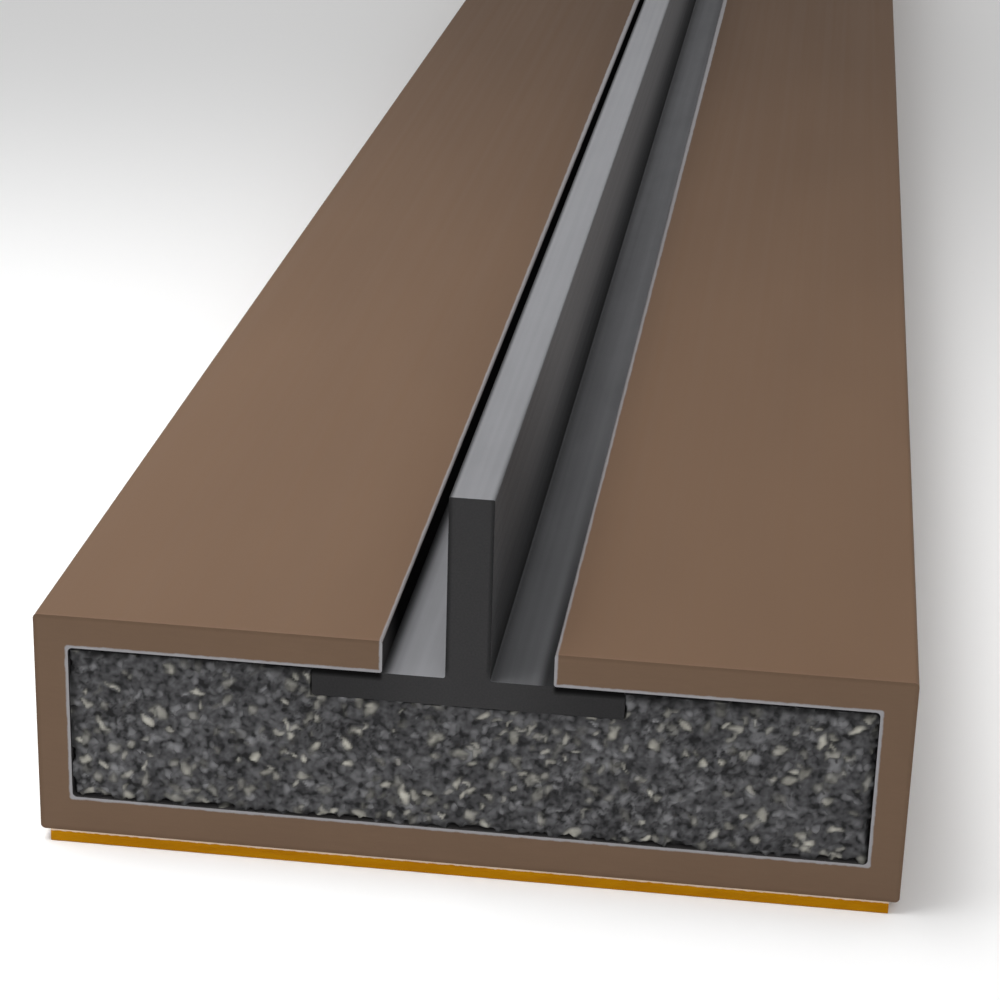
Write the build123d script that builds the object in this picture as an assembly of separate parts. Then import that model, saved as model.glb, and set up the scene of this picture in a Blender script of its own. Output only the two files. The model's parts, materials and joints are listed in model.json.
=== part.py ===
from build123d import *
import os

# A fire and smoke seal for a door: a strip that is stuck into a groove in the door's
# edge or its frame. A plastic casing with a slot along its top holds a core that swells
# in a fire. A rubber fin of an upside-down T section stands up through the slot, held by
# its flange, which lies in a shallow groove of the core and under the casing's lips.
# A thin self-adhesive tape covers the casing's underside.
#
# All sizes are in millimetres. X runs across the strip, Y along it and Z up.
# The origin is the middle of the tape's underside, the face that is stuck down.

# Strip
seal_length = 150.0

# Casing
casing_width = 14.7
casing_height = 4.05
wall_thickness = 0.58
floor_thickness = 0.66
lip_thickness = 0.58
slot_width = 2.86
outer_corner_radius = 0.08
inner_corner_radius = 0.08
lip_edge_radius = 0.05

# Core, which slides into the casing with this gap at its sides and under the lips
core_clearance = 0.06

# Fin: its blade stands this far above the casing's top
blade_thickness = 0.75
blade_projection = 2.64
flange_width = 5.22
flange_thickness = 0.5
blade_edge_radius = 0.03
flange_edge_radius = 0.05
root_radius = 0.04

# Gap between the flange's ends and the sides of the core's groove
groove_clearance = 0.03

# Tape, set back from the casing's sides by this much
tape_inset = 0.17
tape_thickness = 0.22

# Heights of the faces on which one piece seats on another
casing_bottom = tape_thickness
casing_top = casing_bottom + casing_height
cavity_floor = casing_bottom + floor_thickness
lip_underside = casing_top - lip_thickness
flange_top = lip_underside
flange_bottom = flange_top - flange_thickness
core_top = lip_underside - core_clearance
blade_top = casing_top + blade_projection

# Widths that follow from the casing and the fin
cavity_width = casing_width - 2 * wall_thickness
core_width = cavity_width - 2 * core_clearance
groove_width = flange_width + 2 * groove_clearance
tape_width = casing_width - 2 * tape_inset

# Two corners are taken as the same when they are nearer than this
same_place = 0.001


def band(width, bottom, top):
    """A rectangle of the strip's section, centred across it, from one height to another."""
    return Pos(0, (bottom + top) / 2) * Rectangle(width, top - bottom)


def rounded(section, width, heights, radius):
    """The section with its corners at both ends of this width, at these heights, rounded."""
    corners = [
        corner
        for corner in section.vertices()
        if abs(abs(corner.X) - width / 2) < same_place
        and any(abs(corner.Y - height) < same_place for height in heights)
    ]
    return fillet(corners, radius)


def run_out(section):
    """The section run out along the strip's whole length, half to each side of the origin."""
    return extrude(Plane.XZ * section, amount=seal_length / 2, both=True)


def casing_section():
    """A flat box section, open along the middle of its top between two lips."""
    body = band(casing_width, casing_bottom, casing_top)
    body = rounded(body, casing_width, (casing_bottom, casing_top), outer_corner_radius)
    cavity = band(cavity_width, cavity_floor, lip_underside)
    cavity = rounded(cavity, cavity_width, (cavity_floor, lip_underside), inner_corner_radius)
    slot = band(slot_width, (cavity_floor + lip_underside) / 2, casing_top)
    section = body - cavity - slot
    return rounded(section, slot_width, (lip_underside, casing_top), lip_edge_radius)


def core_section():
    """A slab that lies on the casing's floor, with a groove for the fin's flange in its top."""
    slab = band(core_width, cavity_floor, core_top)
    slab = rounded(slab, core_width, (cavity_floor, core_top), inner_corner_radius)
    groove = band(groove_width, flange_bottom, lip_underside)
    return slab - groove


def fin_section():
    """A blade on a flange that is wider than the slot, with small fillets at its root."""
    flange = band(flange_width, flange_bottom, flange_top)
    flange = rounded(flange, flange_width, (flange_bottom, flange_top), flange_edge_radius)
    blade = band(blade_thickness, (flange_bottom + flange_top) / 2, blade_top)
    blade = rounded(blade, blade_thickness, (blade_top,), blade_edge_radius)
    return rounded(flange + blade, blade_thickness, (flange_top,), root_radius)


def tape_section():
    """A thin flat band under the casing."""
    return band(tape_width, 0, tape_thickness)


pieces = {
    "casing": casing_section,
    "intumescent_core": core_section,
    "smoke_fin": fin_section,
    "adhesive_tape": tape_section,
}

os.makedirs("parts", exist_ok=True)
for name, section in pieces.items():
    export_step(run_out(section()), f"parts/{name}.step")
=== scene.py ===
"""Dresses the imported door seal: finishes for its pieces, a granular core, a studio and a camera.

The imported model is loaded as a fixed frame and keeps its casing, fin and tape. The core is built
anew here, because its two cut ends are granular. Sizes are in millimetres in the part's own frame:
X across the strip, Y along it and Z up, with the origin in the middle of the tape's underside.
Blender's own lengths are metres, so every size is multiplied by MM where it reaches Blender.
"""

from __future__ import annotations

import json
import logging
import math
from abc import ABC, abstractmethod
from collections.abc import Mapping, Sequence
from dataclasses import dataclass, field, replace
from enum import Enum
from typing import Any, Union

import bpy
import numpy as np
from mathutils import Matrix, Vector

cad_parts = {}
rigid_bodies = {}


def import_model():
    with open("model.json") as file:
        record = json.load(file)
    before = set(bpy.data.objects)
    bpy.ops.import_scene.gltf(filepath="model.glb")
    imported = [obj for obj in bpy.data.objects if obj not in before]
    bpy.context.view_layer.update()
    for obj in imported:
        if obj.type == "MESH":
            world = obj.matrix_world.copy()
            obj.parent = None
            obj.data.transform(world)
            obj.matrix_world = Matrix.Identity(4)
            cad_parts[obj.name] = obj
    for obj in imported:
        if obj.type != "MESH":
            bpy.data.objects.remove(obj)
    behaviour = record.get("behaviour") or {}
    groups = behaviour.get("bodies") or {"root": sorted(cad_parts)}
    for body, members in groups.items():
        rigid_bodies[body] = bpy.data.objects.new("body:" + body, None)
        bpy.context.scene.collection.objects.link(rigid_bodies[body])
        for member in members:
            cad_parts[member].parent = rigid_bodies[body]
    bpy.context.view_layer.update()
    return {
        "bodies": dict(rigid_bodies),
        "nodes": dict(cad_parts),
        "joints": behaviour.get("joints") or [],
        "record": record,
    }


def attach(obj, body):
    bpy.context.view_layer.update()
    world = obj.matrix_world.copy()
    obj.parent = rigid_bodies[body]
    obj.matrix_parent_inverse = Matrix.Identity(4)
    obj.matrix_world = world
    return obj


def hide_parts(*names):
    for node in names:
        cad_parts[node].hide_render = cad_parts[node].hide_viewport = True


MM = 0.001
BODY = "root"
BAKE_MAP = "OFBake"

# Sockets of a Mix node that mixes colours: the share, both colours and the result.
MIX_SHARE, MIX_LOW, MIX_HIGH, MIX_RESULT = 0, 6, 7, 2

# How much of a pattern's shift goes along X, Y and Z.
SHIFT_SHARES = (1.0, 0.7, 1.3)

# How squarely a face looks along the strip where it starts to count as cut, and where it fully does.
CUT_FACING = (0.5, 0.8)

# How far below a level a point still counts as being at it. Over as much again it fades out.
LEVEL_FADE = 0.1

# Spans that hold nearly all values of a noise, and most of them.
WIDE_SPAN = (0.25, 0.75)
NARROW_SPAN = (0.3, 0.7)

# Edges that turn by more than this stay sharp in a mesh that is made here.
SHARP_ANGLE = math.radians(60)

# Added to a cut end's seed, so that its patterns draw different numbers.
SWIRL_SEED, RELIEF_SEED, SHADE_SEED = 50, 100, 200

# How many points of a cut end are compared with all its grains at a time.
POINTS_AT_A_TIME = 1000

# The core's bake map: the share of its width that is used, and where its long faces lie in its height.
MAP_WIDTH = 0.98
SIDES_LOW, SIDES_HEIGHT = 0.01, 0.5

Colour = tuple[float, float, float]
Triple = tuple[float, float, float]
Span = tuple[float, float]

LOG = logging.getLogger("door_seal")


class Shade:
    """A node's output, so that shader maths can be written as Python expressions."""

    def __init__(self, graph: Graph, socket: bpy.types.NodeSocket | None) -> None:
        """Keeps the socket and the graph that it belongs to."""
        self.graph = graph
        self.socket = socket

    def maths(self, operation: str, *terms: Term) -> Shade:
        """A Math node of this operation over these terms."""
        return self.graph.node("ShaderNodeMath", {"operation": operation}, dict(enumerate(terms)))

    def __add__(self, other: Term) -> Shade:
        """Self plus other."""
        return self.maths("ADD", self, other)

    def __sub__(self, other: Term) -> Shade:
        """Self less other."""
        return self.maths("SUBTRACT", self, other)

    def __rsub__(self, other: Term) -> Shade:
        """Other less self."""
        return self.maths("SUBTRACT", other, self)

    def __mul__(self, other: Term) -> Shade:
        """Self times other."""
        return self.maths("MULTIPLY", self, other)

    def __pow__(self, other: Term) -> Shade:
        """Self to the power of other."""
        return self.maths("POWER", self, other)

    def __abs__(self) -> Shade:
        """Self without its sign."""
        return self.maths("ABSOLUTE", self)

    __radd__ = __add__
    __rmul__ = __mul__

    def beside(self, output: int | str) -> Shade:
        """Another output of the same node."""
        return Shade(self.graph, self.socket.node.outputs[output])

    def least(self, other: Term) -> Shade:
        """The smaller of self and other."""
        return self.maths("MINIMUM", self, other)

    def most(self, other: Term) -> Shade:
        """The larger of self and other."""
        return self.maths("MAXIMUM", self, other)

    def mixed(self, other: Term, share: Term) -> Shade:
        """Self with a share of other in its place."""
        return self * (1 - share) + other * share

    def swing(self, reach: float) -> Shade:
        """Noise about 0.5, turned into a swing about 0 that is this far from end to end."""
        return (self - 0.5) * reach

    def at_level(self, level: float) -> Shade:
        """1 where self is about at a level or above it, and 0 where it is well below."""
        return self.rise(level - 2 * LEVEL_FADE, level - LEVEL_FADE)

    def rise(self, start: float, end: float) -> Shade:
        """A smooth step of self, from 0 at start to 1 at end.

        Args:
            start: The value at which the step begins. It may lie above end, for a falling step.
            end: The value at which the step is complete.

        Returns:
            The step, between 0 and 1.
        """
        low, high = min(start, end), max(start, end)
        step = self.graph.node(
            "ShaderNodeMapRange",
            {"interpolation_type": "SMOOTHSTEP"},
            {"Value": self, "From Min": low, "From Max": high},
        )
        return step if start < end else 1 - step


Term = Union[float, Shade]
Value = Union[float, Sequence[float], Shade]


@dataclass(frozen=True)
class Pattern:
    """Fractal noise: how often it changes per millimetre along X, Y and Z, and its finer layers.

    The shift moves it, so that two patterns of the same scale differ.
    """

    scale: Triple
    detail: float = 2.0
    shift: float = 0.0


@dataclass(frozen=True)
class Spot:
    """Where the shaded point lies on the strip and how it faces.

    It holds the point as a vector, its X and Z, the normal's Z, 1 on a cut end or 0 elsewhere, and
    the distance from the strip's nearer end.
    """

    place: Shade
    x: Shade
    z: Shade
    upward: Shade
    cut_end: Shade
    from_end: Shade


class Graph:
    """The node tree of one material or world."""

    def __init__(self, tree: bpy.types.NodeTree) -> None:
        """Starts the tree afresh."""
        self.tree = tree
        tree.nodes.clear()

    def node(
        self,
        kind: str,
        settings: Mapping[str, Any] | None = None,
        inputs: Mapping[int | str, Value] | None = None,
        output: int | str = 0,
    ) -> Shade:
        """Makes a node.

        Args:
            kind: The node's Blender type.
            settings: The node's own properties, which are set first.
            inputs: A value or a link for each socket that is named or numbered.
            output: The name or number of the output that is wanted.

        Returns:
            That output, or one with no socket if the node has none.
        """
        made = self.tree.nodes.new(kind)
        for name, value in (settings or {}).items():
            setattr(made, name, value)
        for key, value in (inputs or {}).items():
            socket = made.inputs[key]
            if isinstance(value, Shade):
                self.tree.links.new(value.socket, socket)
            elif socket.type == "RGBA":
                socket.default_value = (*value, 1.0)
            else:
                socket.default_value = value
        return Shade(self, made.outputs[output] if made.outputs else None)

    def place(self) -> Shade:
        """Where the shaded point is, as a vector in millimetres in the part's frame."""
        metres = self.node("ShaderNodeTexCoord", output="Object")
        return self.node("ShaderNodeVectorMath", {"operation": "SCALE"}, {0: metres, "Scale": 1 / MM})

    def parts(self, vector: Shade) -> tuple[Shade, Shade, Shade]:
        """A vector's X, Y and Z."""
        x = self.node("ShaderNodeSeparateXYZ", inputs={0: vector})
        return x, x.beside(1), x.beside(2)

    def spot(self, half_length: float) -> Spot:
        """Where the shaded point lies on a strip of this half length."""
        place = self.place()
        x, y, z = self.parts(place)
        _, along, upward = self.parts(self.node("ShaderNodeTexCoord", output="Normal"))
        return Spot(place, x, z, upward, abs(along).rise(*CUT_FACING), half_length - abs(y))

    def noise(self, place: Shade, pattern: Pattern) -> Shade:
        """Fractal noise between 0 and 1, and about 0.5.

        Args:
            place: Where the point is, in millimetres.
            pattern: The noise's scale, detail and shift.

        Returns:
            The noise.
        """
        shift = tuple(pattern.shift * share for share in SHIFT_SHARES)
        stretched = self.node(
            "ShaderNodeVectorMath",
            {"operation": "MULTIPLY_ADD"},
            {0: place, 1: pattern.scale, 2: shift},
        )
        inputs = {"Vector": stretched, "Scale": 1.0, "Detail": pattern.detail}
        return self.node("ShaderNodeTexNoise", inputs=inputs)

    def warped(self, place: Shade, pattern: Pattern, reach: float) -> Shade:
        """A place that is moved about by noise.

        Args:
            place: Where the point is, in millimetres.
            pattern: The noise that moves it.
            reach: How far it is moved at most, in millimetres.

        Returns:
            The moved place.
        """
        offset = self.node(
            "ShaderNodeVectorMath",
            {"operation": "MULTIPLY_ADD"},
            {0: self.noise(place, pattern).beside("Color"), 1: (2 * reach,) * 3, 2: (-reach,) * 3},
        )
        return self.node("ShaderNodeVectorMath", {"operation": "ADD"}, {0: place, 1: offset})

    def blend(self, share: Term, low: Value, high: Value) -> Shade:
        """A colour between low and high.

        Args:
            share: How much of high there is, from 0 to 1.
            low: The colour where share is 0.
            high: The colour where share is 1.

        Returns:
            The mixed colour.
        """
        inputs = {MIX_SHARE: share, MIX_LOW: low, MIX_HIGH: high}
        return self.node("ShaderNodeMix", {"data_type": "RGBA"}, inputs, output=MIX_RESULT)

    def bump(self, height: Shade, depth: float) -> Shade:
        """A normal for relief of this height, between 0 and 1, and this depth in millimetres."""
        return self.node("ShaderNodeBump", inputs={"Distance": depth * MM, "Height": height})

    def surface(
        self, colour: Shade, roughness: Shade, normal: Shade, gloss: float, metallic: Term = 0.0
    ) -> None:
        """Ends the tree in a Principled shader.

        Args:
            colour: The base colour.
            roughness: The roughness over the surface.
            normal: The normal, from a bump node.
            gloss: The specular level, the same all over.
            metallic: How metallic the surface is.
        """
        shader = self.node(
            "ShaderNodeBsdfPrincipled",
            inputs={
                "Base Color": colour,
                "Roughness": roughness,
                "Metallic": metallic,
                "Normal": normal,
                "Specular IOR Level": gloss,
            },
        )
        self.node("ShaderNodeOutputMaterial", inputs={"Surface": shader})


class Finish(ABC):
    """A surface finish, which makes one material.

    In every finish a share says how much of a colour or a pattern is mixed in, a swing how far a
    pattern moves a value from end to end, and a span where a step starts and where it is complete.
    """

    name: str

    @abstractmethod
    def paint(self, graph: Graph) -> None:
        """Builds the finish's node tree."""

    def material(self) -> bpy.types.Material:
        """A new material with this finish."""
        made = bpy.data.materials.new(self.name)
        made.use_nodes = True
        self.paint(Graph(made.node_tree))
        return made


def dimmed(colour: Colour, factor: float) -> Colour:
    """A colour times a factor, which is above 1 to make it lighter."""
    return tuple(part * factor for part in colour)


@dataclass(frozen=True)
class BrownPlastic(Finish):
    """Satin brown plastic, drawn along Y, with a pale rim where the end was cut and along the slot.

    The opening is the casing's hollow and the slot above it. Its inside is darkened with painted shade.
    On the cut ends the rim is partly a pale cut edge and partly painted highlight. Along the slot's
    top edges it is painted highlight, which grows lighter away from the ends as a painted glint.
    """

    name: str
    half_length: float
    half_hollow: float
    hollow_bottom: float
    hollow_top: float
    half_slot: float
    half_width: float
    bottom: float
    top: float

    dark: Colour = (0.1285, 0.0785, 0.0495)
    light: Colour = (0.165, 0.102, 0.0645)
    sawn: Colour = (0.1105, 0.093, 0.0735)
    streaks: Pattern = Pattern((5.0, 0.03, 5.0), detail=3.0)
    scoring: Pattern = Pattern((2.5, 1.0, 14.0), shift=11.0)
    mottling: Pattern = Pattern((0.5, 0.12, 0.5), shift=7.0)
    grain: Pattern = Pattern((22.0,) * 3, shift=3.0)
    lay_swing: float = 0.3
    mottling_swing: float = 0.55
    grain_swing: float = 0.15
    sawn_share: float = 0.2

    # Painted highlight along the drawn faces' ends, as on a rounded edge, and painted shade round the cut
    # ends' outer edges.
    edge_width: float = 0.09
    edge_line: float = 0.02
    highlight_factor: float = 1.5
    highlight_share: float = 0.1
    edge_dark: float = 0.6
    edge_share: float = 0.25

    # Painted shade: the casing's inside faces are darkened to near black, dark grey near the ends.
    inside_shade: Colour = (0.001, 0.001, 0.001)
    inside_shade_at_end: Colour = (0.050, 0.048, 0.048)
    inside_shade_fade: Span = (1.8, 0.2)
    inside_span: Span = (0.004, 0.001)

    # The rim: on the cut ends partly a pale cut edge, partly painted highlight; along the slot's top
    # edges painted highlight, lighter away from the ends as a painted glint.
    rim: Colour = (0.275, 0.275, 0.29)
    far_rim_glint: Colour = (0.48, 0.48, 0.505)
    rim_glint_span: Span = (20.0, 50.0)
    ragged: Pattern = Pattern((8.0, 2.0, 8.0), shift=15.0)
    ragged_swing: float = 0.035
    rim_width: float = 0.046
    highlight_growth: float = 0.0019
    widest_highlight: float = 0.145
    rim_span: Span = (-0.02, 0.012)
    rim_share: float = 0.9
    slot_highlight_share: float = 0.85
    top_facing: Span = (0.3, 0.5)
    slot_overlap: float = 1.0

    mean_roughness: float = 0.5
    lay_roughness: float = 0.2
    grain_roughness: float = 0.12
    sawn_roughness: float = 0.12
    inside_roughness: float = 0.5
    grain_relief: float = 0.3
    relief_depth: float = 0.004
    gloss: float = 0.03

    def paint(self, graph: Graph) -> None:
        """Mixes streaks and mottling, painted highlight and shade along the outer edges, painted shade
        inside and the rim.
        """
        spot = graph.spot(self.half_length)
        cut_end, from_end = spot.cut_end, spot.from_end
        streaks, scoring, mottling, grain, ragged = (
            graph.noise(spot.place, pattern)
            for pattern in (self.streaks, self.scoring, self.mottling, self.grain, self.ragged)
        )
        lay = streaks.mixed(scoring, cut_end)
        tone = 0.5 + lay.swing(self.lay_swing)
        tone = tone + mottling.swing(self.mottling_swing) + grain.swing(self.grain_swing)
        colour = graph.blend(tone, self.dark, self.light)
        colour = graph.blend(cut_end * self.sawn_share, colour, self.sawn)
        colour = self.with_edges(graph, spot, colour)

        out_of_opening = self.out_of_opening(spot)
        on_top = abs(spot.upward).rise(*self.top_facing) * spot.z.at_level(self.top)
        # Painted shade over the casing's inside faces.
        inside = out_of_opening.rise(*self.inside_span) * (1 - cut_end) * (1 - on_top)
        inside_shade = graph.blend(from_end.rise(*self.inside_shade_fade), self.inside_shade, self.inside_shade_at_end)
        colour = graph.blend(inside, colour, inside_shade)

        # Width of the painted highlight along the slot's top edges, wider away from the ends.
        highlight_width = (from_end * self.highlight_growth + self.rim_width).least(self.widest_highlight)
        width = highlight_width.mixed(self.rim_width, cut_end) + ragged.swing(self.ragged_swing)
        rim = (width - out_of_opening).rise(*self.rim_span) * cut_end.most(on_top * self.slot_highlight_share)
        # Painted glint: the rim lightens away from the ends.
        rim_colour = graph.blend(from_end.rise(*self.rim_glint_span), self.rim, self.far_rim_glint)
        colour = graph.blend(rim * self.rim_share, colour, rim_colour)

        roughness = self.mean_roughness + lay.swing(self.lay_roughness) + cut_end * self.sawn_roughness
        roughness = roughness + grain.swing(self.grain_roughness) + inside * self.inside_roughness
        normal = graph.bump(lay.mixed(grain, self.grain_relief), self.relief_depth)
        graph.surface(colour, roughness, normal, self.gloss)

    def with_edges(self, graph: Graph, spot: Spot, colour: Shade) -> Shade:
        """A colour with a painted highlight along the drawn faces' ends and painted shade round the cut
        ends.

        Args:
            graph: The node tree.
            spot: Where the point lies.
            colour: The colour to change.

        Returns:
            The changed colour.
        """
        sideways = self.half_width - abs(spot.x)
        to_outside = sideways.least(self.top - spot.z).least(spot.z - self.bottom)
        # Painted highlight along the drawn faces' ends; painted shade round the cut ends.
        painted_shading = spot.from_end.rise(self.edge_width, 0.0) * (1 - spot.cut_end)
        shaded = to_outside.rise(self.edge_width, self.edge_line) * spot.cut_end
        colour = graph.blend(painted_shading * self.highlight_share, colour, dimmed(self.light, self.highlight_factor))
        return graph.blend(shaded * self.edge_share, colour, dimmed(self.dark, self.edge_dark))

    def out_of_opening(self, spot: Spot) -> Shade:
        """How far a point of the section lies outside the opening."""
        out_of_hollow = self.gap(spot, self.half_hollow, self.hollow_bottom, self.hollow_top)
        low, high = self.hollow_top - self.slot_overlap, self.top + self.slot_overlap
        return out_of_hollow.least(self.gap(spot, self.half_slot, low, high))

    def gap(self, spot: Spot, half: float, low: float, high: float) -> Shade:
        """How far a point of the section lies outside a box.

        Args:
            spot: Where the point lies.
            half: Half the box's width.
            low: The box's lowest height.
            high: The box's greatest height.

        Returns:
            The distance in millimetres, which is 0 inside the box.
        """
        sideways = (abs(spot.x) - half).most(0.0)
        upright = (abs(spot.z - (low + high) / 2) - (high - low) / 2).most(0.0)
        return (sideways * sideways + upright * upright) ** 0.5


@dataclass(frozen=True)
class BlackRubber(Finish):
    """Black rubber whose drawn skin has a grey bloom, lighter on upward faces as painted sheen, and whose
    cut ends are bare and darker.
    """

    name: str
    blade_half: float
    slot_half: float
    half_length: float
    root_height: float
    tip_height: float

    black: Colour = (0.002, 0.002, 0.002)
    streaks: Pattern = Pattern((7.0, 0.05, 7.0), detail=3.0, shift=5.0)
    dust: Pattern = Pattern((1.6, 0.5, 1.6), detail=3.0, shift=2.0)
    grain: Pattern = Pattern((30.0,) * 3)
    edge_width: float = 0.09

    # Painted shade: the flanks darken from the side colour down to this colour at the root.
    root: Colour = (0.052, 0.052, 0.053)
    side: Colour = (0.180, 0.186, 0.196)
    # Grey bloom, lighter on upward faces as painted sheen.
    bloom_and_sheen: Colour = (0.312, 0.314, 0.330)
    upward_facing: Span = (0.1, 0.9)
    middle_span: Span = (-0.3, 0.3)
    flange_span: Span = (0.3, 0.2)
    flank_start: float = 0.4
    flank_height: float = 0.65
    # The flanks darken near the ends.
    near_end_length: float = 12.0
    near_end_share: float = 0.6
    patch_share: float = 0.2

    # Upward faces darken towards the ends; on the flange beyond the blade this is painted shade from the
    # blade.
    toward_end_length: float = 55.0
    darker_toward_end: float = 0.34
    darker_in_blade_shade: float = 0.60
    # Painted shade in the corner at the blade's root, more on the flange beyond the blade.
    root_reach: float = 0.6
    root_shading: float = 0.12
    root_shading_beyond: float = 0.20

    # Painted shade on the flange beside the lips and, beyond the blade, beside its root.
    shade_reach: float = 0.2
    shade_beyond: float = 0.12
    shade_share: float = 0.8
    root_shade: float = 0.5
    # Painted shade along the blade top's edges, as of rounded edges.
    left_edge_share: float = 0.95
    right_edge_share: float = 0.8

    bare: Colour = (0.038, 0.0375, 0.0385)
    bare_dark: float = 0.6
    bare_grain_share: float = 0.3
    outer_reach: float = 1.6
    outer_share: float = 0.3
    # Painted shade on the cut end under the casing's lips and along the blade's edges.
    lip_span: Span = (-0.05, 0.05)
    lip_depth: Span = (-0.2, -0.05)
    blade_start: float = 0.2
    blade_edge_line: float = 0.01
    blade_edge_share: float = 0.5

    mean_roughness: float = 0.48
    streak_roughness: float = 0.2
    grain_roughness: float = 0.15
    bare_roughness: float = 0.1
    grain_relief: float = 0.4
    relief_depth: float = 0.005
    gloss: float = 0.03

    def paint(self, graph: Graph) -> None:
        """Lays bloom on the skin, most of it on what faces up as painted sheen, and leaves the cut ends
        bare.
        """
        spot = graph.spot(self.half_length)
        streaks = graph.noise(spot.place, self.streaks)
        dust = graph.noise(spot.place, self.dust)
        grain = graph.noise(spot.place, self.grain)
        skin = self.skin(graph, spot, streaks.mixed(dust, 0.5).rise(*WIDE_SPAN))
        colour = graph.blend(spot.cut_end, skin, self.bare_end(graph, spot, grain))
        roughness = self.mean_roughness + streaks.swing(self.streak_roughness)
        roughness = roughness + grain.swing(self.grain_roughness) + spot.cut_end * self.bare_roughness
        normal = graph.bump(streaks.mixed(grain, self.grain_relief), self.relief_depth)
        graph.surface(colour, roughness, normal, self.gloss)

    def skin(self, graph: Graph, spot: Spot, patches: Shade) -> Shade:
        """The drawn skin's colour.

        Painted shade darkens the flanks towards the root and fills the corner at the blade's root.
        Upward faces darken towards the ends, most of all on the flange beyond the blade, where that is
        painted shade from the blade. The flange has painted shade beside the lips, and the blade's top
        has painted shade along both its edges.

        Args:
            graph: The node tree.
            spot: Where the point lies.
            patches: Where the bloom is patchy.

        Returns:
            The colour.
        """
        x, z = spot.x, spot.z
        toward_end = spot.from_end.rise(self.toward_end_length, 0.0)
        near_end = spot.from_end.rise(self.near_end_length, 0.0)
        upward = spot.upward.rise(*self.upward_facing)
        beyond = x.rise(*self.middle_span)
        on_flange = upward * (z - self.root_height).rise(*self.flange_span)
        out_of_root = (abs(x) - self.blade_half).most(0.0) + (z - self.root_height).most(0.0)

        # Painted shade on the flanks, darker towards the root.
        flank_top = self.root_height * (1 - self.flank_height) + self.tip_height * self.flank_height
        side = graph.blend(near_end * self.near_end_share, self.side, self.black)
        flank = graph.blend(z.rise(self.root_height + self.flank_start, flank_top), self.root, side)
        # Upward faces take this colour: partly bloom, partly painted sheen.
        skin = graph.blend(upward, flank, self.bloom_and_sheen)
        skin = graph.blend(patches * self.patch_share, skin, flank)

        # Painted shade in the corner at the blade's root.
        painted_shading = out_of_root.rise(self.root_reach, 0.0) * (self.root_shading + beyond * self.root_shading_beyond)
        # Upward faces darken towards the ends, most on the flange beyond the blade as painted shade from
        # it.
        end_darkening = self.darker_toward_end + on_flange * beyond * (self.darker_in_blade_shade - self.darker_toward_end)
        skin = graph.blend(painted_shading.most(upward * toward_end * end_darkening), skin, self.black)

        # Painted shade beside the lips; on the far half only near the ends.
        from_lip = self.slot_half - abs(x) - beyond * self.shade_beyond
        beside_lip = on_flange * from_lip.rise(self.shade_reach, 0.0) * (1 - beyond * (1 - near_end))
        beside_root = on_flange * beyond * out_of_root.rise(self.shade_reach, 0.0)
        shade = beside_lip.most(beside_root * self.root_shade)
        skin = graph.blend(shade * self.shade_share, skin, self.black)

        # Painted shade along both edges of the blade's top.
        on_tip = upward * z.at_level(self.tip_height)
        left_edge = x.rise(self.edge_width - self.blade_half, -self.blade_half)
        right_edge = x.rise(self.blade_half - self.edge_width, self.blade_half)
        skin = graph.blend(on_tip * left_edge * self.left_edge_share, skin, self.black)
        return graph.blend(on_tip * right_edge * self.right_edge_share, skin, flank)

    def bare_end(self, graph: Graph, spot: Spot, grain: Shade) -> Shade:
        """A cut end's colour, with painted shade under the casing's lips and along the blade's edges.

        Args:
            graph: The node tree.
            spot: Where the point lies.
            grain: The rubber's grain.

        Returns:
            The colour.
        """
        from_middle, above_root = abs(spot.x), spot.z - self.root_height
        speckle = grain.rise(*NARROW_SPAN) * self.bare_grain_share
        bare = graph.blend(speckle, self.bare, dimmed(self.bare, self.bare_dark))
        # The bare rubber darkens towards the flange's ends.
        outwards = from_middle.rise(self.blade_half, self.slot_half * self.outer_reach)
        # Painted shade under the lips and along the blade's edges.
        under_lip = (from_middle - self.slot_half).rise(*self.lip_span) * above_root.rise(*self.lip_depth)
        blade_edge = (from_middle - self.blade_half).rise(-self.edge_width, -self.blade_edge_line)
        blade_edge = blade_edge * above_root.rise(0.0, self.blade_start)
        shade = (outwards * self.outer_share).most(under_lip).most(blade_edge * self.blade_edge_share)
        return graph.blend(shade, bare, self.black)


@dataclass(frozen=True)
class AmberTape(Finish):
    """Amber film tape with a pale, ragged line of carrier along the top of its edges."""

    name: str
    thickness: float
    amber: Colour = (0.390, 0.172, 0.0)
    deep: Colour = (0.335, 0.134, 0.0)
    carrier: Colour = (0.62, 0.53, 0.44)
    film: Pattern = Pattern((0.8, 0.25, 6.0), detail=3.0)
    fibres: Pattern = Pattern((9.0,) * 3, detail=3.0, shift=4.0)
    line_height: float = 0.034
    line_fade: float = 0.01
    line_swing: float = 0.05
    carrier_share: float = 0.7
    mean_roughness: float = 0.38
    film_roughness: float = 0.2
    carrier_roughness: float = 0.25
    fibre_relief: float = 0.4
    relief_depth: float = 0.008
    gloss: float = 0.05

    def paint(self, graph: Graph) -> None:
        """Varies the film along its length and draws the ragged carrier line."""
        place = graph.place()
        _, _, z = graph.parts(place)
        film = graph.noise(place, self.film)
        fibres = graph.noise(place, self.fibres)
        colour = graph.blend(film.rise(*WIDE_SPAN), self.deep, self.amber)
        line_start = self.thickness - self.line_height
        pale = (z + fibres.swing(self.line_swing)).rise(line_start, line_start + self.line_fade)
        colour = graph.blend(pale * self.carrier_share, colour, self.carrier)
        roughness = self.mean_roughness + film.swing(self.film_roughness) + pale * self.carrier_roughness
        normal = graph.bump(film.mixed(fibres, self.fibre_relief), self.relief_depth)
        graph.surface(colour, roughness, normal, self.gloss)


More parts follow.
